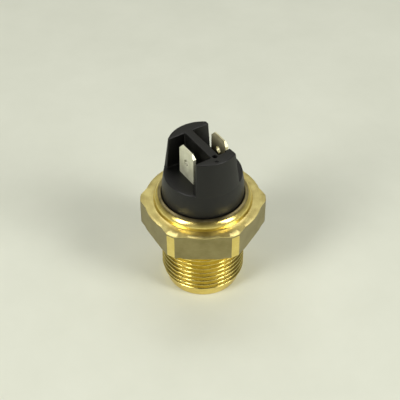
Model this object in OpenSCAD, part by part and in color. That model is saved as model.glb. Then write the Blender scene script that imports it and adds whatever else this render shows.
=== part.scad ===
// Screw-in pressure switch: hexagon brass body with an M22 x 1.5 stud, a moulded
// terminal head held by a rolled lip, two blade terminals, and the diaphragm,
// range spring, adjuster and contact set inside. mm, +Z up, Z = 0 at the stud's end.

/* [Stud] */
// Thread outside radius, M22
thread_r = 11; // [10:0.5:12]
// Thread pitch
thread_pitch = 1.5; // [1:0.25:2]
// Height of the plain lead-in end
lead_h = 3.3; // [2.5:0.1:4]
// Distance of the lead-in end's tip inside the thread's crests
lead_in = 1.25; // [1.1:0.05:1.8]
// Height of the hexagon's seating face above the stud's end
seat_z = 18.7; // [17:0.1:22]
// Wall between the thread's root and the bore inside the stud
stud_wall = 1.8799; // [1.5:0.01:2.5]
// Radius of the pressure port
port_r = 2.5; // [1.5:0.1:3]

/* [Hexagon] */
// Hexagon size across flats
hex_af = 29; // [27:0.5:30]
// How much the diameter across the turned corners exceeds the flats
corner_over = 3.3; // [2:0.1:4.4]
// Height of the hexagon
hex_h = 7.8; // [6:0.1:10]
// Overhang of the turned shoulder past the middle of each flat
shoulder_out = 0.6; // [0.1:0.1:0.9]

/* [Rolled ring] */
// Distance of the rolled ring's outside from the middle of each flat
ring_in = 1.8; // [1.3:0.1:2.1]
// Height of the ring above the hexagon
ring_h = 2.5; // [2.3:0.1:3]
// Width of the rolled ring, from its outside to the lip's inner edge
lip_w = 2.03; // [1.7:0.01:2.1]
// Radius that the ring's outside is rolled to
ring_round = 2.0; // [1.2:0.05:2.0]

/* [Terminal head] */
// Turn of the head about the body's axis, degrees
head_turn = -57; // [-90:1:0]
// Clearance between the head's foot and the rolled lip
foot_gap = 0.17; // [0.05:0.01:0.4]
// Length of the foot's straight side above the ring
foot_h = 2.8; // [1.5:0.1:3.5]
// Taper of the head's side from the foot to the pocket floor
base_in = 0.55; // [0.3:0.05:0.8]
// Height of the pocket floor above the ring
floor_h = 6.5; // [6:0.1:8]
// Height of the tower above the pocket floor
tower_h = 8.9; // [8:0.1:11]
// Taper of the tower from the pocket floor to its top
tower_in = 1.15; // [0.8:0.05:1.5]
// Thickness of the end walls at their middle, at the top
end_wall_t = 2.95; // [2.4:0.05:3.3]
// Distance of the far end wall's left end inside the tower's radius
far_left_in = 2.5; // [2.3:0.05:3.3]
// Distance of the far end wall's right end inside the tower's radius
far_right_in = 3.4; // [2.8:0.05:4]
// Distance of the near end wall's left end inside the tower's radius
near_left_in = 2.8; // [2.3:0.05:3.3]
// Distance of the near end wall's right end inside the tower's radius
near_right_in = 4.4; // [3.8:0.05:4.8]
// How much the end walls widen at each end from top to foot
wall_draft = 0.7; // [0:0.05:0.9]
// Thickness of the web between the end walls
web_t = 2.2; // [1.6:0.1:2.8]
// Offset of the web from the axis
web_off = -0.5; // [-0.8:0.1:0]

/* [Blade terminals] */
// Width of each blade
blade_w = 6.3; // [6.2:0.05:6.4]
// Thickness of each blade
blade_t = 0.8; // [0.75:0.05:0.85]
// Height of the blades' tips above the pocket floor
blade_h = 8.8; // [8:0.1:10.5]
// Distance from the axis to each blade's middle
blade_gap = 4.7; // [4.4:0.05:4.8]
// Shift of both blades towards the far pocket
blade_off = 0.2; // [0:0.05:0.3]
// Radius of the hole in each blade
blade_hole_r = 0.9; // [0.7:0.05:1]

/* [Mechanism] */
// Working travel of the plunger
travel = 0.74; // [0.5:0.02:0.8]
// Radius of the push rod
rod_r = 1.5; // [1.3:0.05:1.6]
// Radial running clearance of the push rod
rod_clear = 0.05; // [0.02:0.01:0.1]
// Wire radius of the range spring
range_wire_r = 0.55; // [0.4:0.05:0.6]
// Distance of the range spring's coil inside the chamber's wall
coil_in = 1.9; // [1.6:0.05:2.2]
// Turns of the range spring
range_turns = 4; // [3:0.5:5]

/* [Hidden] */
// smoothness of the round surfaces
$fn = 72;
// height of the hexagon's top face
hex_top = seat_z + hex_h;
// thread root radius, 60 degree profile
root_r = thread_r - 0.6134 * thread_pitch;
lead_r = thread_r - lead_in;
// hexagon, ring and head, each from the size it seats on
hex_corner_d = hex_af + corner_over;
shoulder_r = hex_af / 2 + shoulder_out;
ring_r = hex_af / 2 - ring_in;
lip_r = ring_r - lip_w;
foot_r = lip_r - foot_gap;
base_r = foot_r - base_in;
tower_top_r = base_r - tower_in;
foot_z = hex_top + ring_h + foot_h;
floor_z = hex_top + ring_h + floor_h;
tower_z = floor_z + tower_h;
blade_z = floor_z + blade_h;
wall_in = tower_top_r - end_wall_t;
far_left = tower_top_r - far_left_in;
far_right = tower_top_r - far_right_in;
near_left = tower_top_r - near_left_in;
near_right = tower_top_r - near_right_in;
// number of thread crests between the lead-in end and the undercut
crests = floor((seat_z - 1.4 - lead_h) / thread_pitch);
// levels inside the stud, bottom up
port_len = 2.5;
choke_r = port_r - 0.5;
chamber_z = 4.0;
ledge_z = 5.6;
gasket_top = ledge_z + 0.6;
dia_top = gasket_top + 0.3;
clamp_top = dia_top + 3.0;
plate_top = dia_top + 1.5;
guide_z = hex_top - 3.9;
step_z = hex_top - 2.0;
washer_z = guide_z - 5.6;
washer_t = 0.8;
ring_low = washer_z + washer_t;
ring_top = ring_low + 3.4;
// bores inside the stud, outside in
cavity_r = root_r - stud_wall;
guide_r = cavity_r + 0.7;
chamber_r = cavity_r - 2.0;
range_coil_r = chamber_r - coil_in;
washer_bore_r = range_coil_r - 0.9;
ring_bore_r = rod_r + 1.6;
// radius of the bore that takes the head's flange
flange_r = ring_r - 1.1;
// the head's plug below its flange, and the seal round it
plug_r = flange_r - 2.3;
seal_t = 0.75;
seal_r = flange_r - 1.15;
// radius of the contact chamber in the head
head_room_r = base_r - 2.35;
// under side of the rolled lip
lip_z = hex_top + ring_h - 1.0;
// contact set
// inward reach of the near end wall's lip
lip_in = 0.6;
ceiling_z = floor_z - 2.0;
tip_r = 1.1;
tip_v = blade_gap - 1.1;
fixed_z = ceiling_z - 2.3;
fixed_tip_z = fixed_z - 0.6;
moving_top = fixed_tip_z - travel - 0.01;
bridge_top = moving_top - 0.65;
bridge_z = bridge_top - 0.8;
spigot_r = rod_r - 0.5;
clip_top = bridge_top + 0.5;
// clearance round pressed and moulded-in pieces
gap = 0.02;
e = 0.01;

// list of the sub-parts

function crest_z(i) = lead_h + 0.25 * thread_pitch + i * thread_pitch;

module tube(r1, r0, z0, z1) {
  translate([0, 0, z0])
    difference() {
      cylinder(r = r1, h = z1 - z0);
      translate([0, 0, -1])
        cylinder(r = r0, h = z1 - z0 + 2);
    }
}

module disc(r, z0, z1) {
  translate([0, 0, z0])
    cylinder(r = r, h = z1 - z0);
}

// one thread crest: flank up, flat, flank down
module crest(i) {
  z = crest_z(i);
  q = thread_pitch;
  rotate_extrude()
    polygon([[root_r - 0.5, z], [root_r, z], [thread_r, z + 0.3125 * q],
      [thread_r, z + 0.5 * q], [root_r, z + 0.8125 * q], [root_r - 0.5, z + 0.8125 * q]]);
}

module stud_core() {
  rotate_extrude()
    polygon([[0, 0], [lead_r - 0.35, 0], [lead_r, 0.35], [lead_r + 0.45, lead_h - 0.5],
      [root_r, lead_h], [root_r, seat_z - 1.2], [root_r - 0.15, seat_z - 1.0],
      [root_r - 0.15, seat_z + 0.5], [0, seat_z + 0.5]]);
}

module hexagon() {
  intersection() {
    translate([0, 0, seat_z])
      cylinder(r = hex_af / sqrt(3), h = hex_h, $fn = 6);
    rotate_extrude()
      polygon([[0, seat_z - 1], [hex_corner_d / 2 - 1.6, seat_z - 1],
        [hex_corner_d / 2 - 1.2, seat_z], [hex_corner_d / 2, seat_z + 0.5],
        [hex_corner_d / 2, hex_top - 0.25], [hex_corner_d / 2 - 0.25, hex_top],
        [hex_corner_d / 2 - 0.3, hex_top + 1], [0, hex_top + 1]]);
  }
}

module shoulder() {
  rotate_extrude()
    polygon([[0, hex_top - 0.5], [shoulder_r, hex_top - 0.5], [shoulder_r, hex_top - 0.15],
      [shoulder_r - 0.15, hex_top], [0, hex_top]]);
}

module rolled_ring() {
  top = hex_top + ring_h;
  rotate_extrude()
    union() {
      polygon([[0, hex_top - 0.4], [ring_r, hex_top - 0.4], [ring_r, top - ring_round],
        [ring_r - ring_round, top - ring_round], [ring_r - ring_round, top], [0, top]]);
      translate([ring_r - ring_round, top - ring_round])
        circle(r = ring_round);
    }
}

module brass_body() {
  color([0.78, 0.66, 0.36])
    difference() {
      union() {
        stud_core();
        for (i = [0 : crests - 1])
          crest(i);
        hexagon();
        shoulder();
        rolled_ring();
      }
      // pressure port, chamber under the diaphragm, mechanism bore, guide bore
      disc(port_r, -1, port_len);
      disc(choke_r, port_len - e, chamber_z + 0.5);
      disc(chamber_r, chamber_z, ledge_z + 0.5);
      disc(cavity_r, ledge_z, guide_z + 0.5);
      disc(guide_r, guide_z, step_z + 0.5);
      disc(flange_r, step_z, lip_z);
      disc(lip_r, lip_z - 0.5, hex_top + ring_h + 1);
      translate([0, 0, hex_top + ring_h - 0.25])
        cylinder(r1 = lip_r, r2 = lip_r + 0.26, h = 0.26);
      translate([0, 0, -e])
        cylinder(r1 = port_r + 0.5, r2 = port_r, h = 0.5);
      // relief round the stud, so a washer's bore clears it
      tube(thread_r + 0.4, root_r - 0.15, seat_z - 1, seat_z + 0.3);
    }
}

module inlet_restrictor() {
  color([0.7, 0.6, 0.35])
    difference() {
      tube(choke_r - gap, 0.4, port_len, chamber_z);
      translate([0, 0, port_len - e])
        cylinder(r1 = 1.2, r2 = 0.4, h = 0.7);
    }
}

module diaphragm_gasket() {
  color([0.1, 0.1, 0.1])
    tube(cavity_r - gap, chamber_r, ledge_z, gasket_top);
}

module diaphragm() {
  color([0.72, 0.72, 0.7])
    rotate_extrude()
      polygon([[0, gasket_top], [chamber_r - 1.6, gasket_top],
        [chamber_r - 1.2, gasket_top - 0.3], [chamber_r - 0.7, gasket_top - 0.3],
        [chamber_r - 0.3, gasket_top], [cavity_r - gap, gasket_top], [cavity_r - gap, dia_top],
        [chamber_r - 0.4, dia_top], [chamber_r - 0.8, dia_top - 0.3],
        [chamber_r - 1.1, dia_top - 0.3], [chamber_r - 1.5, dia_top], [0, dia_top]]);
}

module clamp_ring() {
  color([0.6, 0.6, 0.58])
    difference() {
      tube(cavity_r - gap, chamber_r - 0.1, dia_top, clamp_top);
      translate([0, 0, clamp_top - 0.5])
        cylinder(r1 = chamber_r - 0.1, r2 = chamber_r + 0.5, h = 0.51);
    }
}

module pressure_plate() {
  color([0.62, 0.62, 0.6])
    difference() {
      rotate_extrude()
        polygon([[0, dia_top], [chamber_r - 1.8, dia_top], [chamber_r - 1.0, dia_top + 0.5],
          [chamber_r - 0.6, dia_top + 0.5], [chamber_r - 0.6, plate_top],
          [range_coil_r - 1.0, plate_top], [range_coil_r - 1.3, plate_top + 1.2],
          [0, plate_top + 1.2]]);
      disc(rod_r + gap, plate_top - 0.5, plate_top + 3);
    }
}

// horizontal section of a round wire coiled to the pitch p
function wire_half(t, rw) = sqrt(max(0, rw * rw - t * t));
function coil_section(rc, rw, p, n) = concat(
  [for (i = [0 : n]) let (t = -rw + 2 * rw * i / n, a = t / p * 360, r = rc + wire_half(t, rw))
    [r * cos(a), r * sin(a)]],
  [for (i = [n - 1 : -1 : 1]) let (t = -rw + 2 * rw * i / n, a = t / p * 360,
    r = rc - wire_half(t, rw)) [r * cos(a), r * sin(a)]]);

// spring standing from z0 to z1, its end turns ground flat
module coil(rc, rw, z0, z1, turns) {
  h = z1 - z0;
  p = h / turns;
  intersection() {
    translate([0, 0, z0])
      linear_extrude(height = h, twist = -360 * turns, slices = 16 * turns, $fn = 16)
        polygon(coil_section(rc, rw, p, 6));
    disc(rc + 3 * rw, z0, z1);
  }
}

module range_spring() {
  color([0.55, 0.56, 0.58])
    coil(range_coil_r, range_wire_r, plate_top, washer_z, range_turns);
}

module thrust_washer() {
  color([0.6, 0.6, 0.62])
    tube(cavity_r - 1.8, washer_bore_r, washer_z, ring_low);
}

module adjusting_ring() {
  color([0.76, 0.64, 0.34])
    difference() {
      union() {
        disc(cavity_r - 0.9, ring_low, ring_top);
        for (i = [0 : 2])
          translate([0, 0, ring_low + 0.25 + i])
            rotate_extrude()
              polygon([[cavity_r - 1.7, 0], [cavity_r - 0.9, 0], [cavity_r - 0.08, 0.35],
                [cavity_r - 0.08, 0.55], [cavity_r - 0.9, 0.9], [cavity_r - 1.7, 0.9]]);
      }
      disc(ring_bore_r, ring_low - 1, ring_top + 1);
      for (a = [0, 180])
        rotate([0, 0, a])
          translate([cavity_r - 2.9, 0, ring_top - 1.8])
            cylinder(r = 0.8, h = 3);
      translate([0, 0, ring_top - 0.4])
        cylinder(r1 = ring_bore_r, r2 = ring_bore_r + 0.5, h = 0.41);
    }
}

module push_rod() {
  color([0.9, 0.88, 0.82])
    rotate_extrude()
      polygon([[0, plate_top - 0.5], [rod_r - 0.2, plate_top - 0.5],
        [rod_r, plate_top - 0.3], [rod_r, bridge_z], [spigot_r, bridge_z],
        [spigot_r, clip_top + 1.0], [spigot_r - 0.25, clip_top + 1.25],
        [0, clip_top + 1.25]]);
}

module guide_disc() {
  color([0.35, 0.22, 0.12])
    difference() {
      union() {
        disc(guide_r - gap, guide_z, step_z - 0.1);
        disc(rod_r + 1.9, guide_z - 0.0, step_z + 1.0);
      }
      disc(rod_r + rod_clear, guide_z - 1, step_z + 2);
      for (a = [45, 135, 225, 315])
        rotate([0, 0, a])
          translate([guide_r - 2.7, 0, guide_z - 1])
            cylinder(r = 0.6, h = 4);
    }
}

module head_seal() {
  color([0.08, 0.08, 0.08])
    translate([0, 0, step_z + seal_t])
      rotate_extrude()
        translate([seal_r, 0])
          circle(r = seal_t, $fn = 32);
}

// end wall from u0 to u1 along its thickness; v0 and v1 are its ends at the top
module end_wall(u0, u1, v0, v1) {
  low = floor_z - 0.5;
  d = wall_draft * (tower_z - low) / (tower_z - floor_z);
  translate([u0, 0, 0])
    rotate([90, 0, 90])
      linear_extrude(height = u1 - u0)
        polygon([[v0 - d, low], [v1 + d, low], [v1, tower_z], [v0, tower_z]]);
}

// the tower's end walls, web and corner lip, cut to the tapered outline
module tower() {
  intersection() {
    translate([0, 0, floor_z - 0.5])
      cylinder(r1 = base_r + 0.5 * (base_r - tower_top_r) / (tower_z - floor_z),
               r2 = tower_top_r, h = tower_z - floor_z + 0.5);
    union() {
      end_wall(-12, -wall_in, -far_left, far_right);
      end_wall(wall_in, 12, -near_left, near_right);
      end_wall(wall_in - lip_in, wall_in + 1, near_right - 1.6, near_right - 0.1);
      translate([-wall_in - 0.5, web_off - web_t / 2, floor_z - 0.5])
        cube([2 * wall_in + 1, web_t, tower_z - floor_z + 0.5]);
    }
  }
}

function blade_v(s) = s * blade_gap + blade_off;

module blade_slot(s) {
  translate([-blade_w / 2 - gap, blade_v(s) - blade_t / 2 - gap, ceiling_z - 1])
    cube([blade_w + 2 * gap, blade_t + 2 * gap, 4]);
}

module terminal_head() {
  color([0.06, 0.06, 0.06])
    rotate([0, 0, head_turn])
      difference() {
        union() {
          rotate_extrude()
            polygon([[0, step_z + 0.1], [plug_r, step_z + 0.1], [plug_r, step_z + 2 * seal_t],
              [flange_r - 0.05, step_z + 2 * seal_t], [flange_r - 0.05, lip_z - gap],
              [foot_r + 0.05, lip_z - gap], [foot_r, foot_z],
              [base_r + 0.03, floor_z - 0.25], [base_r - 0.22, floor_z], [0, floor_z]]);
          tower();
        }
        // contact chamber, blade slots and the core-pin hole in the tower's top
        disc(head_room_r, step_z - 1, ceiling_z);
        blade_slot(-1);
        blade_slot(1);
        translate([wall_in, web_off, tower_z - 2.5])
          cylinder(r = 0.7, h = 4);
      }
}

// s is the side of the web: -1 or 1; the foot turns in towards the axis
module terminal(s) {
  v0 = blade_v(s);
  difference() {
    union() {
      intersection() {
        translate([0, v0 + blade_t / 2, 0])
          rotate([90, 0, 0])
            linear_extrude(height = blade_t)
              polygon([[-blade_w / 2, fixed_z], [blade_w / 2, fixed_z],
                [blade_w / 2, blade_z - 1.2], [blade_w / 2 - 1.0, blade_z],
                [-blade_w / 2 + 1.0, blade_z], [-blade_w / 2, blade_z - 1.2]]);
        translate([-blade_w, v0, 0])
          rotate([90, 0, 90])
            linear_extrude(height = 2 * blade_w)
              polygon([[-blade_t / 2 - 1, fixed_z - 1], [blade_t / 2 + 1, fixed_z - 1],
                [blade_t / 2 + 1, blade_z - 1.0], [blade_t / 2, blade_z - 0.9],
                [blade_t / 2 - 0.22, blade_z], [-blade_t / 2 + 0.22, blade_z],
                [-blade_t / 2, blade_z - 0.9], [-blade_t / 2 - 1, blade_z - 1.0]]);
      }
      translate([-2.4, s > 0 ? tip_v - tip_r : v0, fixed_z])
        cube([4.8, abs(v0 - s * (tip_v - tip_r)), blade_t]);
    }
    translate([0, v0 + 2, blade_z - 4.0])
      rotate([90, 0, 0])
        cylinder(r = blade_hole_r, h = 4);
  }
}

module terminal_a() {
  color([0.86, 0.84, 0.7])
    rotate([0, 0, head_turn])
      terminal(-1);
}

module terminal_b() {
  color([0.72, 0.66, 0.42])
    rotate([0, 0, head_turn])
      terminal(1);
}

module fixed_contact(s) {
  rotate([0, 0, head_turn])
    translate([0, s * tip_v, fixed_tip_z])
      cylinder(r = tip_r, h = 0.6);
}

module fixed_contact_a() {
  color([0.85, 0.85, 0.85])
    fixed_contact(-1);
}

module fixed_contact_b() {
  color([0.85, 0.85, 0.85])
    fixed_contact(1);
}

module contact_bridge() {
  color([0.75, 0.6, 0.3])
    rotate([0, 0, head_turn])
      difference() {
        translate([-2.1, -tip_v - 1.3, bridge_z])
          cube([4.2, 2 * tip_v + 2.6, 0.8]);
        disc(spigot_r + gap, bridge_z - 1, bridge_top + 1);
      }
}

module moving_contact(s) {
  rotate([0, 0, head_turn])
    translate([0, s * tip_v, bridge_top])
      cylinder(r = tip_r, h = moving_top - bridge_top);
}

module moving_contact_a() {
  color([0.85, 0.85, 0.85])
    moving_contact(-1);
}

module moving_contact_b() {
  color([0.85, 0.85, 0.85])
    moving_contact(1);
}

module retaining_clip() {
  color([0.5, 0.5, 0.5])
    difference() {
      tube(spigot_r + 1.0, spigot_r + gap, bridge_top, clip_top);
      rotate([0, 0, head_turn])
        translate([0.3, -0.35, bridge_top - 1])
          cube([3, 0.7, 3]);
    }
}

module contact_spring() {
  color([0.6, 0.6, 0.62])
    coil(spigot_r + 0.6, 0.22, clip_top, ceiling_z, 4);
}

module terminal_seal(s) {
  v0 = blade_v(s);
  rotate([0, 0, head_turn])
    difference() {
      intersection() {
        translate([-blade_w / 2 - 0.9, v0 - blade_t / 2 - 0.9, fixed_z + blade_t + 0.1])
          cube([blade_w + 1.8, blade_t + 1.8, ceiling_z - fixed_z - blade_t - 0.1]);
        disc(head_room_r - gap, fixed_z, ceiling_z + 1);
      }
      translate([-blade_w / 2, v0 - blade_t / 2, fixed_z])
        cube([blade_w, blade_t, 10]);
    }
}

module terminal_seal_a() {
  color([0.5, 0.12, 0.08])
    terminal_seal(-1);
}

module terminal_seal_b() {
  color([0.5, 0.12, 0.08])
    terminal_seal(1);
}

brass_body();
inlet_restrictor();
diaphragm_gasket();
diaphragm();
clamp_ring();
pressure_plate();
range_spring();
thrust_washer();
adjusting_ring();
push_rod();
guide_disc();
head_seal();
terminal_head();
terminal_a();
terminal_b();
fixed_contact_a();
fixed_contact_b();
contact_bridge();
moving_contact_a();
moving_contact_b();
retaining_clip();
contact_spring();
terminal_seal_a();
terminal_seal_b();
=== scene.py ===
import bpy, bmesh, math
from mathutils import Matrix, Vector, geometry


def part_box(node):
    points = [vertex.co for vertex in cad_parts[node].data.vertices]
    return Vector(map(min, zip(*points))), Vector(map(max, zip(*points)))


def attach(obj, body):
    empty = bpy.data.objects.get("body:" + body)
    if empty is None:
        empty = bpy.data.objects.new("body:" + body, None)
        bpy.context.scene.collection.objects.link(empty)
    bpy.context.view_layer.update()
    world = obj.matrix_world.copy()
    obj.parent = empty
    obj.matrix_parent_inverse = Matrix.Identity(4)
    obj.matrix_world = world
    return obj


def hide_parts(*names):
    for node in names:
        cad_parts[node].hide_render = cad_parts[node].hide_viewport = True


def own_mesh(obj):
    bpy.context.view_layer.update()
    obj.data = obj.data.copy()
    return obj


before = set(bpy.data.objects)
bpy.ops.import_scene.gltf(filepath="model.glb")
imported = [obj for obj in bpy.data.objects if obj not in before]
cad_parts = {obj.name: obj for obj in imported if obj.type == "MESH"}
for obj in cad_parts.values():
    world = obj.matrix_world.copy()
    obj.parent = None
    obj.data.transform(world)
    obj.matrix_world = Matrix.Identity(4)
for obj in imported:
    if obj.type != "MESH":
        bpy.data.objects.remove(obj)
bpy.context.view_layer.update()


MM = 0.001
TAU = 2 * math.pi

# ---------------------------------------------------------------- sizes, mm
# stud and thread
THREAD_R, PITCH = 11.0, 1.5
THREAD_DEPTH = 0.6134 * PITCH
THREAD_PHASE = 0.22                      # turns
THREAD_STEPS = 18                        # rings in one pitch
ROOT_R = THREAD_R - THREAD_DEPTH
RELIEF_R = ROOT_R - 0.12                 # groove between the thread and the hexagon
LEAD_H, LEAD_R = 3.3, 9.75
LEAD_TOP_R = LEAD_R + 0.43
# hexagon
SEAT_Z, HEX_H, SEAT_R = 18.7, 7.8, 13.9
HEX_TOP = SEAT_Z + HEX_H
AF, CORNER_D, SHOULDER_R = 29.0, 32.3, 15.1
CORNER_R = CORNER_D / 2
CORNER_HALF = math.acos(AF / CORNER_D)   # half a flat's angle, up to its corner strip
LOW_EDGE, SHOULDER_H = 0.58, 0.5         # turned edges below and above the flats
# rolled ring and lip
RING_R, RING_H, LIP_R, RING_ROUND = 12.7, 2.5, 10.67, 2.0
RING_TOP = HEX_TOP + RING_H
# bores inside the body, from the ring down to the port
FLANGE_R, FLANGE_Z = RING_R - 1.1, HEX_TOP - 2.0
GUIDE_R, GUIDE_H = 8.9, 1.9
CAVITY_R, CAVITY_Z = 8.2, 5.6
WELL_R, WELL_Z = 6.2, 4.0
NECK_R, PORT_R, PORT_Z = 2.0, 2.5, 2.5
# terminal head
HEAD_TURN = math.radians(-57)
FOOT_R, FOOT_Z, BASE_R = 10.5, 31.8, 9.95
PLUG_R, CHAMBER_R, CEIL_T = 9.3, 7.6, 2.0
FLANGE_GAP, FLOOR_ROUND = 0.05, 0.28
FLOOR_Z, TOWER_Z = 35.5, 44.4
TOWER_TOP_R = 8.8
WALL_IN, WEB_T, WEB_OFF = 5.85, 2.2, -0.5
FAR_WALL, NEAR_WALL, WALL_DRAFT = (-6.3, 5.4), (-6.0, 4.4), 0.7
LIP_IN, LIP_W = 0.6, 1.6
HEAD_SIDES, HOLE_SIDES = 160, 28


# ---------------------------------------------------------------- camera
CAM_ELEVATION, CAM_DISTANCE = math.radians(42.09), 250
CAM_RIGHT, CAM_UP = -0.77, 19.05
CAM_FOCAL = 904.05 / 400                 # in image widths
SENSOR = 36


def make_camera():
    c, s = math.cos(CAM_ELEVATION), math.sin(CAM_ELEVATION)
    back, up = Vector((0, -c, s)), Vector((0, s, c))
    cam = bpy.data.cameras.new("camera")
    cam.sensor_width = SENSOR
    cam.lens = CAM_FOCAL * SENSOR
    cam.clip_start = 0.01
    cam.clip_end = 20
    ob = bpy.data.objects.new("camera", cam)
    ob.location = (back * CAM_DISTANCE + Vector((CAM_RIGHT, 0, 0)) + up * CAM_UP) * MM
    ob.rotation_euler = (math.pi / 2 - CAM_ELEVATION, 0, 0)
    bpy.context.scene.collection.objects.link(ob)
    bpy.context.scene.camera = ob


make_camera()


# ---------------------------------------------------------------- node helpers
class Nodes:
    """Adds shader nodes to a material or a world."""

    def __init__(self, owner):
        owner.use_nodes = True
        self.nt = owner.node_tree

    def put(self, socket, value):
        if isinstance(value, bpy.types.NodeSocket):
            self.nt.links.new(value, socket)
        else:
            socket.default_value = value

    def add(self, kind, inputs, **props):
        n = self.nt.nodes.new(kind)
        for k, v in props.items():
            setattr(n, k, v)
        for k, v in inputs.items():
            self.put(n.inputs[k], v)
        return n

    def coords(self, output="Object"):
        return self.add("ShaderNodeTexCoord", {}).outputs[output]

    def axes(self, vec):
        return self.add("ShaderNodeSeparateXYZ", {0: vec}).outputs

    def math(self, op, *values):
        return self.add("ShaderNodeMath", dict(enumerate(values)), operation=op).outputs[0]

    def weigh(self, a, weight_a, b, weight_b):
        return self.math("ADD", self.math("MULTIPLY", a, weight_a), self.math("MULTIPLY", b, weight_b))

    def scaled(self, vec, scale):
        return self.add("ShaderNodeMapping", {"Vector": vec, "Scale": scale}).outputs[0]

    def noise(self, vec, scale, detail, rough):
        n = self.add("ShaderNodeTexNoise",
                     {"Vector": vec, "Scale": scale, "Detail": detail, "Roughness": rough})
        return n.outputs["Fac"]

    def ramp(self, fac, *stops):
        """A colour ramp; each stop is (place, colour)."""
        n = self.add("ShaderNodeValToRGB", {"Fac": fac})
        el = n.color_ramp.elements
        while len(el) < len(stops):
            el.new(0.5)
        for e, (place, colour) in zip(el, stops):
            e.position = place
            e.color = (*colour, 1)
        return n.outputs["Color"]

    def range(self, fac, from_min, from_max, to_min, to_max, **props):
        n = self.add("ShaderNodeMapRange", {"Value": fac, "From Min": from_min, "From Max": from_max,
                                            "To Min": to_min, "To Max": to_max}, **props)
        return n.outputs["Result"]


class Surface(Nodes):
    """A new material with a Principled shader."""

    def __init__(self, name):
        self.mat = bpy.data.materials.new(name)
        super().__init__(self.mat)
        self.bsdf = self.nt.nodes["Principled BSDF"]

    def set(self, **values):
        for k, v in values.items():
            self.put(self.bsdf.inputs[k.replace("_", " ")], v)

    def rough(self, fac, limits):
        """Roughness that follows the middle of a noise between two limits."""
        self.set(Roughness=self.range(fac, 0.3, 0.7, *limits))

    def bump(self, height, strength, distance):
        n = self.add("ShaderNodeBump", {"Strength": strength, "Distance": distance, "Height": height})
        self.set(Normal=n.outputs["Normal"])


# ---------------------------------------------------------------- materials
def turned_metal(name, light, dark, rough, marks=0.25):
    """Metal turned on a lathe: fine rings round the axis, slight stain and colour drift."""
    t = Surface(name)
    x, y, z = t.axes(t.coords())
    r = t.math("SQRT", t.math("ADD", t.math("MULTIPLY", x, x), t.math("MULTIPLY", y, y)))
    ring_scale = 5200.0
    polar = t.add("ShaderNodeCombineXYZ", {0: t.math("MULTIPLY", r, ring_scale),
                                           2: t.math("MULTIPLY", z, ring_scale)}).outputs[0]
    rings = t.noise(polar, scale=1.0, detail=4.0, rough=0.65)
    stain = t.noise(t.coords(), scale=260.0, detail=4.0, rough=0.6)
    fine = t.noise(t.coords(), scale=2600.0, detail=2.0, rough=0.5)
    t.set(Base_Color=t.ramp(t.weigh(stain, 0.75, rings, 0.25), (0.30, dark), (0.62, light)), Metallic=1.0)
    t.rough(t.weigh(stain, 0.6, fine, 0.4), rough)
    t.bump(rings, strength=marks, distance=0.00002)
    return t.mat


def milled_metal(name, light, dark, rough):
    """Drawn and milled bar: streaks across the flats, duller than a turned face."""
    t = Surface(name)
    co = t.coords()
    streak = t.noise(t.scaled(co, (900, 900, 6000)), scale=1.0, detail=4.0, rough=0.6)
    stain = t.noise(co, scale=300.0, detail=3.0, rough=0.55)
    t.set(Base_Color=t.ramp(t.weigh(stain, 0.6, streak, 0.4), (0.32, dark), (0.64, light)), Metallic=1.0)
    t.rough(streak, rough)
    t.bump(streak, strength=0.2, distance=0.00002)
    return t.mat


def sheet_metal(name, light, dark, rough, metallic=1.0):
    """Stamped strip or drawn wire: streaks along its length and faint dull patches."""
    t = Surface(name)
    co = t.coords()
    streak = t.noise(t.scaled(co, (4200, 4200, 500)), scale=1.0, detail=4.0, rough=0.6)
    patch = t.noise(co, scale=420.0, detail=4.0, rough=0.6)
    t.set(Base_Color=t.ramp(t.weigh(patch, 0.7, streak, 0.3), (0.3, dark), (0.62, light)),
          Metallic=metallic)
    t.rough(patch, rough)
    t.bump(streak, strength=0.25, distance=0.00001)
    return t.mat


def moulded_plastic(name, light, dark, rough, grain=0.35, spec=0.5):
    """Moulded plastic, resin or ceramic: fine grain, slight flow marks, rubbed edges."""
    t = Surface(name)
    co = t.coords()
    spark = t.noise(co, scale=5200.0, detail=3.0, rough=0.6)
    flow = t.noise(co, scale=190.0, detail=4.0, rough=0.55)
    edge = t.add("ShaderNodeNewGeometry", {}).outputs["Pointiness"]
    rub = t.range(edge, 0.52, 0.60, 0.0, 0.25)
    shade = t.math("ADD", t.math("MULTIPLY", flow, 0.7), rub)
    t.set(Base_Color=t.ramp(shade, (0.28, dark), (0.8, light)), Specular_IOR_Level=spec)
    t.rough(t.weigh(flow, 0.5, spark, 0.5), rough)
    t.bump(spark, strength=grain, distance=0.000015)
    return t.mat


def rubber(name, dark, light):
    t = Surface(name)
    n = t.noise(t.coords(), scale=1500.0, detail=4.0, rough=0.6)
    t.set(Base_Color=t.ramp(n, (0.3, dark), (0.8, light)))
    t.rough(n, (0.55, 0.7))
    t.bump(n, strength=0.3, distance=0.00002)
    return t.mat


def laminate(name, dark, light):
    """Woven laminate: two crossed sets of bands."""
    t = Surface(name)
    co = t.coords()
    warp, weft = (t.add("ShaderNodeTexWave", {"Vector": co, "Scale": 900, "Distortion": 2},
                        wave_type="BANDS", bands_direction=axis).outputs["Fac"] for axis in "XY")
    weave = t.math("MULTIPLY", warp, weft)
    t.set(Base_Color=t.ramp(weave, (0.1, dark), (0.9, light)), Roughness=0.45)
    t.bump(weave, strength=0.15, distance=0.00002)
    return t.mat


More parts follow.
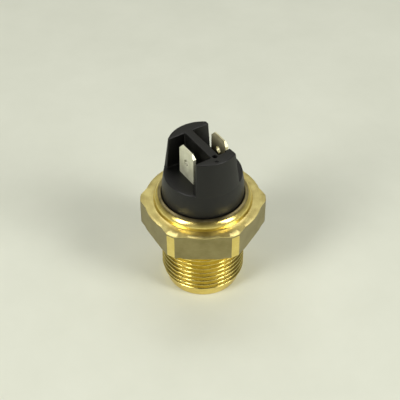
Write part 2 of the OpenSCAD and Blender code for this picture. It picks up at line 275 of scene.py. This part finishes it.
mat_brass = turned_metal("turned_brass", (0.86, 0.70, 0.24), (0.72, 0.55, 0.14),
                         rough=(0.16, 0.28), marks=0.14)
mat_face = turned_metal("faced_brass", (0.90, 0.78, 0.33), (0.60, 0.47, 0.17),
                        rough=(0.25, 0.40), marks=0.6)
mat_thread = turned_metal("thread_brass", (0.78, 0.64, 0.21), (0.62, 0.49, 0.13),
                          rough=(0.17, 0.27), marks=0.1)
# rolled lip: a mottled rolled surface painted darker as shade; the dark colour stands in for the dark
# head reflected in the ring's top and inner slope
mat_lip_painted_shade = turned_metal("rolled_lip_painted_shade", (0.42, 0.35, 0.17), (0.16, 0.13, 0.07),
                       rough=(0.3, 0.46), marks=0.45)
# the flats' own dull colour; the same material also paints shade on the turned collar's side band above
# the flats
mat_flat_and_shade = milled_metal("milled_brass_and_painted_shade", (0.36, 0.31, 0.15), (0.26, 0.22, 0.095), rough=(0.34, 0.46))
mat_head = moulded_plastic("head_plastic", (0.0065, 0.0065, 0.0045), (0.002, 0.0019, 0.0016),
                           rough=(0.36, 0.48), spec=0.4)
mat_tin = sheet_metal("tinned_brass", (0.72, 0.72, 0.57), (0.56, 0.55, 0.41),
                      rough=(0.4, 0.52), metallic=0.55)
mat_blade_b = sheet_metal("brass_sheet", (0.66, 0.62, 0.40), (0.5, 0.45, 0.26),
                          rough=(0.36, 0.48), metallic=0.6)
mat_steel = turned_metal("plated_steel", (0.62, 0.62, 0.60), (0.45, 0.45, 0.44), rough=(0.3, 0.42))
mat_wire = sheet_metal("spring_wire", (0.60, 0.60, 0.58), (0.42, 0.42, 0.42), rough=(0.3, 0.4))
mat_silver = sheet_metal("silver_tip", (0.86, 0.85, 0.82), (0.7, 0.69, 0.66), rough=(0.2, 0.3))
mat_bronze = sheet_metal("bronze_strip", (0.78, 0.52, 0.27), (0.6, 0.37, 0.17), rough=(0.25, 0.38))
mat_rubber = rubber("seal_rubber", (0.012, 0.012, 0.012), (0.024, 0.024, 0.024))
mat_rod = moulded_plastic("rod_ceramic", (0.86, 0.84, 0.78), (0.78, 0.75, 0.68),
                          rough=(0.15, 0.25), grain=0.05)
mat_resin = moulded_plastic("sealing_resin", (0.36, 0.09, 0.05), (0.26, 0.05, 0.03),
                            rough=(0.2, 0.35), grain=0.15)
mat_laminate = laminate("laminate", (0.22, 0.11, 0.05), (0.36, 0.20, 0.09))

CAD_LOOKS = {
    mat_brass: ("inlet_restrictor", "adjusting_ring"),
    mat_steel: ("clamp_ring", "pressure_plate", "thrust_washer"),
    mat_wire: ("diaphragm", "range_spring", "retaining_clip", "contact_spring"),
    mat_rubber: ("diaphragm_gasket", "head_seal"),
    mat_rod: ("push_rod",),
    mat_laminate: ("guide_disc",),
    mat_tin: ("terminal_a",),
    mat_blade_b: ("terminal_b",),
    mat_silver: ("fixed_contact_a", "fixed_contact_b", "moving_contact_a", "moving_contact_b"),
    mat_bronze: ("contact_bridge",),
    mat_resin: ("terminal_seal_a", "terminal_seal_b"),
}
SOFT_EDGES = {"terminal_a": 0.12, "terminal_b": 0.12, "contact_bridge": 0.1}      # mm

for mat, names in CAD_LOOKS.items():
    for name in names:
        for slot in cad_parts[name].material_slots:
            slot.material = mat
for name, width in SOFT_EDGES.items():
    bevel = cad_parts[name].modifiers.new("soft_edges", "BEVEL")
    bevel.width = width * MM
    bevel.segments = 2
    bevel.limit_method = "ANGLE"
    bevel.angle_limit = math.radians(40)
    bevel.harden_normals = True


# ---------------------------------------------------------------- mesh helpers
def add_object(name, bm, mats, node, angle=32):
    """Turns bm into a smooth piece on the housing that stands for a CAD node."""
    me = bpy.data.meshes.new(name)
    bmesh.ops.recalc_face_normals(bm, faces=bm.faces)
    bm.to_mesh(me)
    bm.free()
    for m in mats:
        me.materials.append(m)
    me.shade_smooth()
    me.set_sharp_from_angle(angle=math.radians(angle))
    ob = bpy.data.objects.new(name, me)
    bpy.context.scene.collection.objects.link(ob)
    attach(ob, "housing")
    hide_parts(node)
    return ob


def circle(r, z, n, centre=(0, 0)):
    return [(centre[0] + r * math.cos(TAU * j / n), centre[1] + r * math.sin(TAU * j / n), z)
            for j in range(n)]


def arc(cx, cz, r, a0, a1, n):
    """Points of an arc in the (radius, height) plane, degrees."""
    steps = [math.radians(a0 + (a1 - a0) * i / n) for i in range(n + 1)]
    return [(cx + r * math.cos(a), cz + r * math.sin(a)) for a in steps]


def add_verts(bm, points):
    return [bm.verts.new(Vector(p) * MM) for p in points]


def rings_to_mesh(bm, rings, closed=False, mat_of=None):
    """Joins rings of as many points each; closed joins the last ring to the first."""
    rows = [add_verts(bm, ring) for ring in rings]
    n = len(rows[0])
    pairs = list(zip(rows, rows[1:]))
    if closed:
        pairs.append((rows[-1], rows[0]))
    for i, (a, b) in enumerate(pairs):
        for j in range(n):
            k = (j + 1) % n
            f = bm.faces.new((a[j], a[k], b[k], b[j]))
            if mat_of:
                f.material_index = mat_of(i, j)
    return rows


def fan(bm, row, z):
    """Closes a round row with triangles to a point on the axis."""
    tip = add_verts(bm, [(0, 0, z)])[0]
    for a, b in zip(row, row[1:] + row[:1]):
        bm.faces.new((a, b, tip))


def cap(bm, row, holes=()):
    """Fills one flat outline with triangles, leaving round blind holes: (centre, radius, depth)."""
    m = HOLE_SIDES
    pts = [Vector((v.co.x, v.co.y)) / MM for v in row]
    z = row[0].co.z / MM
    verts, edges, outline = list(row), [], list(range(len(row)))
    for c, r, depth in holes:
        k = len(pts)
        pts += [Vector(p[:2]) for p in circle(r, 0, m, c)]
        edges += [(k + i, k + (i + 1) % m) for i in range(m)]
        wall = rings_to_mesh(bm, [circle(r, z, m, c), circle(r - 0.05, z - 0.08, m, c),
                                  circle(r - 0.06, z - depth, m, c)])
        bm.faces.new(wall[-1])
        verts += wall[0]
    out = geometry.delaunay_2d_cdt(pts, edges, [outline], 1, 1e-6)
    for tri in out[2]:
        corners = [out[3][i][0] for i in tri]
        mid = sum((pts[i] for i in corners), Vector((0, 0))) / 3
        if all((mid - Vector(c)).length > r * 0.98 for c, r, depth in holes):
            bm.faces.new([verts[i] for i in corners])


# ---------------------------------------------------------------- brass body
# FLAT_AND_SHADE is the flats' own colour and also painted shade on the collar's side band; LIP_SHADE is
# the lip painted dark as shade
BRASS, FLAT_AND_SHADE, LIP_SHADE, FACE, THREAD = range(5)         # material slots of the body


def thread_radius(z, theta):
    """Radius of a right-hand 60 degree thread at this height and angle."""
    turns = (z / PITCH - theta / TAU - THREAD_PHASE) % 1.0
    from_crest = abs(turns - 0.5) * PITCH
    f = min(1.0, max(0.0, (from_crest - PITCH / 16) * math.sqrt(3) / THREAD_DEPTH))
    f = f * f * (3 - 2 * f) * 0.35 + f * 0.65     # slightly rounded crest and root
    return THREAD_R - THREAD_DEPTH * f


def hex_radius(theta):
    t = theta % math.radians(60) - math.radians(30)
    return min(AF / 2 / math.cos(t), CORNER_R)


def body_angles(per_flat=14, per_strip=6):
    """Angles with samples on both sides of each corner strip's edges, and none far apart."""
    out = []
    strip = math.radians(60) - 2 * CORNER_HALF
    for k in range(6):
        mid = math.radians(30 + 60 * k)
        out += [mid - CORNER_HALF + 2 * CORNER_HALF * i / per_flat for i in range(per_flat + 1)]
        for r in (SHOULDER_R, SHOULDER_R - 0.03, SHOULDER_R - 0.14):
            out += [mid - math.acos(AF / 2 / r), mid + math.acos(AF / 2 / r)]
        out += [mid + CORNER_HALF + strip * i / per_strip for i in range(1, per_strip)]
    base = sorted(set(round(a % TAU, 9) for a in out))
    wide = [(a + b) / 2 for a, b in zip(base, base[1:] + [base[0] + TAU]) if b - a > math.radians(2.5)]
    return sorted(base + wide)


def build_body():
    angles = body_angles()
    n = len(angles)
    path = []          # (kind, radius, height)

    def go(kind, *points):
        path.extend((kind, r, z) for r, z in points)

    # end face and lead-in
    go("round", (PORT_R, 0.6), (PORT_R + 0.5, 0.12), (PORT_R + 0.6, 0.03), (PORT_R + 0.75, 0.0),
       (6.0, 0.0), (9.2, 0.0), (LEAD_R - 0.35, 0.02), (LEAD_R - 0.18, 0.12), (LEAD_R - 0.04, 0.3),
       (LEAD_R + 0.03, 0.5), (LEAD_R + 0.24, 1.5), (LEAD_TOP_R - 0.01, LEAD_H - 0.75),
       (LEAD_TOP_R, LEAD_H - 0.6))
    # thread
    z0, z1 = LEAD_H - 0.35, SEAT_Z - 1.5
    steps = int(round((z1 - z0) / PITCH * THREAD_STEPS))
    go("thread", *[(0, z0 + (z1 - z0) * i / steps) for i in range(steps + 1)])
    # relief groove and seating face
    go("round", (ROOT_R - 0.05, SEAT_Z - 1.25), (RELIEF_R, SEAT_Z - 1.0), (RELIEF_R, SEAT_Z - 0.2),
       (RELIEF_R, SEAT_Z + 0.2), (ROOT_R, SEAT_Z + 0.3), (THREAD_R + 0.32, SEAT_Z + 0.3),
       (THREAD_R + 0.4, SEAT_Z + 0.22), (THREAD_R + 0.4, SEAT_Z + 0.04), (THREAD_R + 0.46, SEAT_Z),
       (SEAT_R, SEAT_Z))
    # hexagon: turned edge below, flats and turned corner strips
    go("hexagon", (CORNER_R - 1.1, SEAT_Z), (CORNER_R - 0.95, SEAT_Z + 0.06),
       (CORNER_R - 0.1, SEAT_Z + 0.46), (CORNER_R, SEAT_Z + LOW_EDGE))
    go("hexagon", *[(CORNER_R, SEAT_Z + LOW_EDGE + (HEX_H - 1.3) * i / 6) for i in range(1, 6)])
    go("hexagon", (CORNER_R, HEX_TOP - SHOULDER_H - 0.12), (CORNER_R, HEX_TOP - SHOULDER_H))
    # shoulder and top face; the shoulder's side band is painted dark as shade
    face_from = len(path)
    go("shoulder", (CORNER_R, HEX_TOP - SHOULDER_H), (CORNER_R, HEX_TOP - 0.14),
       (CORNER_R - 0.03, HEX_TOP - 0.05), (CORNER_R - 0.14, HEX_TOP))
    go("round", (14.2, HEX_TOP), (13.6, HEX_TOP), (RING_R + 0.3, HEX_TOP),
       (RING_R + 0.06, HEX_TOP + 0.06), (RING_R, HEX_TOP + 0.25))
    face_to = len(path) - 2
    # rolled ring and lip
    across, up = RING_R - RING_ROUND, RING_TOP - RING_ROUND
    go("round", (RING_R, up - 0.1), *arc(across, up, RING_ROUND, 0, 62, 10))
    # from here the ring's top and inner slope take the lip material, painted dark as shade and as the
    # reflection of the head
    lip_shade_from = len(path) - 1
    go("round", *arc(across, up, RING_ROUND, 68, 84, 4), (LIP_R + 0.12, RING_TOP - 0.06),
       (LIP_R + 0.03, RING_TOP - 0.14), (LIP_R, RING_TOP - 0.3), (LIP_R + 0.02, RING_TOP - 0.98))
    lip_shade_to = len(path) - 1
    # bores: flange, guide, cavity, well, neck, port
    go("round", (FLANGE_R, RING_TOP - 1.0), (FLANGE_R, FLANGE_Z), (GUIDE_R, FLANGE_Z),
       (GUIDE_R, FLANGE_Z - GUIDE_H), (CAVITY_R, FLANGE_Z - GUIDE_H), (CAVITY_R, CAVITY_Z),
       (WELL_R, CAVITY_Z), (WELL_R, WELL_Z), (NECK_R, WELL_Z), (NECK_R, PORT_Z), (PORT_R, PORT_Z))

    def thread_at(z, a):
        """The thread, growing out of the lead-in and running out below the groove."""
        fade_in = min(1, max(0, (z - z0) / 0.9))
        fade_out = min(1, max(0, z1 - z))
        low = ROOT_R + (LEAD_TOP_R - ROOT_R) * (1 - fade_in)
        rad = low + (thread_radius(z, a) - ROOT_R) * min(fade_in, fade_out)
        return max(rad, low) if fade_in < 1 else rad

    radius = {
        "round": lambda r, z, a: r,
        "thread": lambda r, z, a: thread_at(z, a),
        "hexagon": lambda r, z, a: min(hex_radius(a), r),
        "shoulder": lambda r, z, a: max(min(hex_radius(a), r), SHOULDER_R - (CORNER_R - r)),
    }
    rings = []
    for kind, r, z in path:
        rads = [radius[kind](r, z, a) for a in angles]
        rings.append([(rad * math.cos(a), rad * math.sin(a), z) for rad, a in zip(rads, angles)])

    def mat_of(i, j):
        """Material of the face between rings i and i + 1 and angles j and j + 1."""
        # ring top and inner lip: painted shade
        if lip_shade_from <= i < lip_shade_to:
            return LIP_SHADE
        if face_from <= i < face_to:
            # the first band is the collar's side above the flats, painted dark as shade with the flats'
            # colour
            return FACE if i > face_from else FLAT_AND_SHADE
        if path[i][0] == "thread":
            return THREAD
        if path[i][0] != "hexagon":
            return BRASS
        mid = (angles[j] + (angles[(j + 1) % n] + (TAU if j + 1 == n else 0))) / 2
        off = (mid % math.radians(60)) - math.radians(30)
        return FLAT_AND_SHADE if abs(off) < CORNER_HALF - 1e-4 else BRASS

    bm = bmesh.new()
    rings_to_mesh(bm, rings, True, mat_of)
    add_object("body_turning", bm, [mat_brass, mat_flat_and_shade, mat_lip_painted_shade, mat_face, mat_thread],
               "brass_body")


# ---------------------------------------------------------------- terminal head
def fillet(points, radii, seg=4):
    """Rounds the corners of a closed polygon; a radius of 0 keeps the point."""
    out = []
    n = len(points)
    for i, (p, rad) in enumerate(zip(points, radii)):
        p = Vector(p)
        if rad <= 0:
            out.append(tuple(p))
            continue
        a = Vector(points[i - 1]) - p
        b = Vector(points[(i + 1) % n]) - p
        t = min(rad / math.tan(a.angle(b) / 2), a.length * 0.45, b.length * 0.45)
        pa, pb = p + a.normalized() * t, p + b.normalized() * t
        for k in range(seg + 1):
            f = k / seg
            out.append(tuple(pa * (1 - f) ** 2 + p * 2 * f * (1 - f) + pb * f * f))
    return out


def tower_outline(z, wide=0.0):
    """The end walls, web and lip as one closed outline; wide swells it for the foot."""
    f = (TOWER_Z - z) / (TOWER_Z - FLOOR_Z)
    w, t, off = WALL_IN - wide, WEB_T / 2 + wide, WEB_OFF
    r = TOWER_TOP_R + (BASE_R + 0.02 - TOWER_TOP_R) * f + min(wide, 0.0)
    grow = WALL_DRAFT * f + wide
    most = math.sqrt(r * r - (w + 0.12) ** 2)             # where an end wall would run out to nothing
    near, far = ((max(wall[0] - grow, -most), min(wall[1] + grow, most))
                 for wall in (NEAR_WALL, FAR_WALL))
    lip_end = NEAR_WALL[1] - LIP_W - wide
    corners = []                                          # (point, radius of its rounding)

    def edge_arc(v0, v1, sign, n=22):
        for i in range(n + 1):
            v = v0 + (v1 - v0) * i / n
            corners.append(((sign * math.sqrt(max(r * r - v * v, 0.01)), v), 0.2 if i in (0, n) else 0.0))

    edge_arc(near[0], near[1], 1)                         # near end wall, outside
    corners += [((w - LIP_IN, near[1] - 0.1), 0.2),       # lip at its corner
                ((w - LIP_IN, lip_end), 0.2), ((w, lip_end), 0.2),
                ((w, off + t), 0.35), ((-w, off + t), 0.35),      # web
                ((-w, far[1]), 0.15)]
    edge_arc(far[1], far[0], -1)                          # far end wall, outside
    corners += [((-w, far[0]), 0.15),
                ((-w, off - t), 0.35), ((w, off - t), 0.35),      # web
                ((w, near[0]), 0.15)]
    return fillet(*zip(*corners))


def turn(p):
    """A point of the tower's outline, turned to the head's place on the body."""
    c, s = math.cos(HEAD_TURN), math.sin(HEAD_TURN)
    return p[0] * c - p[1] * s, p[0] * s + p[1] * c


def build_head():
    bm = bmesh.new()
    z, flange_r, lip_z, foot_r = FLANGE_Z, FLANGE_R - FLANGE_GAP, RING_TOP - 1.02, FOOT_R + 0.05
    ceil = FLOOR_Z - CEIL_T
    # contact chamber, plug, flange under the lip, tapered base, pocket floor
    prof = [(CHAMBER_R, ceil), (CHAMBER_R, z + 0.1), (PLUG_R - 0.1, z + 0.1), (PLUG_R, z + 0.2),
            (PLUG_R, z + 1.5), (flange_r, z + 1.5), (flange_r, lip_z), (foot_r, lip_z),
            (foot_r, RING_TOP - 0.6), (FOOT_R + 0.03, RING_TOP + 0.5), (FOOT_R, FOOT_Z - 0.42),
            (FOOT_R - 0.05, FOOT_Z + 0.1), (BASE_R + 0.3, FOOT_Z + 1.6), (BASE_R + 0.04, FLOOR_Z - 0.4)]
    prof += arc(BASE_R - FLOOR_ROUND, FLOOR_Z - FLOOR_ROUND, FLOOR_ROUND, 10, 90, 4)
    prof += [(r, FLOOR_Z) for r in (9.3, 8.0, 5.0, 2.0)]
    rows = rings_to_mesh(bm, [circle(r, h, HEAD_SIDES) for r, h in prof])
    fan(bm, rows[0], ceil)
    fan(bm, rows[-1], FLOOR_Z)

    # tower: flared foot, tapered sides, rounded top; (height, how much wider)
    start = FLOOR_Z + 0.3
    levels = [(FLOOR_Z - 0.35, 0.28), (FLOOR_Z + 0.01, 0.28), (FLOOR_Z + 0.05, 0.16),
              (FLOOR_Z + 0.14, 0.06), (start, 0.0)]
    levels += [(start + (TOWER_Z - 0.5 - FLOOR_Z) * i / 5, 0.0) for i in range(1, 6)]
    levels += [(TOWER_Z - 0.16, 0.0), (TOWER_Z - 0.08, -0.03), (TOWER_Z - 0.02, -0.09), (TOWER_Z, -0.17)]
    rows = rings_to_mesh(bm, [[(*turn(p), h) for p in tower_outline(h, wide)] for h, wide in levels])
    cap(bm, rows[0])
    # core-pin hole and gate mark in the top
    cap(bm, rows[-1], [(turn((WALL_IN, WEB_OFF)), 0.68, 2.5), (turn((7.75, WEB_OFF - 0.7)), 0.5, 0.25)])
    add_object("head_moulding", bm, [mat_head], "terminal_head", 35)


# ---------------------------------------------------------------- springs
def build_spring(coil_r, wire_r, z0, z1, turns, steps=28, sides=10):
    """A wire coil whose last half turn at each end lies flat."""
    bm = bmesh.new()
    n = turns * steps
    rings = []
    for i in range(n + 1):
        done = turns * (i / n)
        lift = min(1.0, max(0.0, (done - 0.5) / (turns - 1.0)))
        z = z0 + wire_r + (z1 - z0 - 2 * wire_r) * lift
        a = TAU * done
        rings.append([(r * math.cos(a), r * math.sin(a), h)
                      for r, h, _ in circle(wire_r, 0, sides, centre=(coil_r, z))])
    rows = rings_to_mesh(bm, rings)
    bm.faces.new(rows[0])
    bm.faces.new(rows[-1])
    return bm


def replace_spring(node, coil_r, wire_r, turns):
    """A coil in the place of a CAD spring, with a mesh of its own."""
    lo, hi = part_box(node)
    bm = build_spring(coil_r, wire_r, lo[2] / MM, hi[2] / MM, turns)
    ob = add_object(node + "_wire", bm, [mat_wire], node)
    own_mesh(ob)


# ---------------------------------------------------------------- floor and light
AIM = (0, 0, 0.02)
SOFT_LIGHTS = (    # name, place, aim, size, power, colour; metres and watts
    ("left_soft", (-0.44, -0.36, 0.42), AIM, (0.2, 0.46), 3.2, (1, 0.99, 0.95)),
    ("right_soft", (0.50, -0.31, 0.42), AIM, (0.2, 0.46), 3.2, (1, 0.99, 0.95)),
    ("back_soft", (0.0, 0.40, 0.85), (0, 0.22, 0), (0.9, 0.2), 2.2, (1, 0.99, 0.96)),
)
WORLD_STRENGTH = 0.8


def make_floor():
    bm = bmesh.new()
    bmesh.ops.create_grid(bm, x_segments=2, y_segments=2, size=1.5)
    me = bpy.data.meshes.new("studio_floor")
    bm.to_mesh(me)
    bm.free()
    ob = bpy.data.objects.new("studio_floor", me)
    t = Surface("floor_paper")
    n = t.noise(t.coords(), scale=40.0, detail=4.0, rough=0.6)
    t.set(Base_Color=t.ramp(n, (0.3, (0.66, 0.68, 0.59)), (0.7, (0.70, 0.72, 0.63))), Roughness=0.75)
    me.materials.append(t.mat)
    bpy.context.scene.collection.objects.link(ob)


def area(name, pos, target, size, power, color):
    li = bpy.data.lights.new(name, "AREA")
    li.shape = "RECTANGLE"
    li.size, li.size_y = size
    li.energy = power
    li.color = color
    ob = bpy.data.objects.new(name, li)
    ob.location = pos
    ob.rotation_euler = (Vector(target) - Vector(pos)).to_track_quat("-Z", "Y").to_euler()
    bpy.context.scene.collection.objects.link(ob)


def make_light():
    bpy.context.scene.view_settings.view_transform = "Standard"
    world = bpy.data.worlds.new("studio")
    bpy.context.scene.world = world
    t = Nodes(world)
    x, y, z = t.axes(t.coords("Generated"))
    sky = t.ramp(z, (0.0, (0.60, 0.62, 0.55)), (0.5, (0.30, 0.30, 0.26)),
                 (0.75, (0.10, 0.095, 0.08)), (1.0, (0.07, 0.065, 0.055)))
    # a brighter wall behind the object
    wall = t.range(y, 0.35, 0.75, 0.0, 1.0, interpolation_type="SMOOTHSTEP")
    mix = t.add("ShaderNodeMix", {"Factor": wall, "A": sky, "B": (0.56, 0.56, 0.47, 1)}, data_type="RGBA")
    background = t.nt.nodes["Background"]
    t.put(background.inputs[0], mix.outputs["Result"])
    t.put(background.inputs[1], WORLD_STRENGTH)
    for light in SOFT_LIGHTS:
        area(*light)


# ---------------------------------------------------------------- build
build_body()
build_head()
replace_spring("range_spring", coil_r=4.3, wire_r=0.55, turns=4)
replace_spring("contact_spring", coil_r=1.6, wire_r=0.22, turns=4)
make_floor()
make_light()
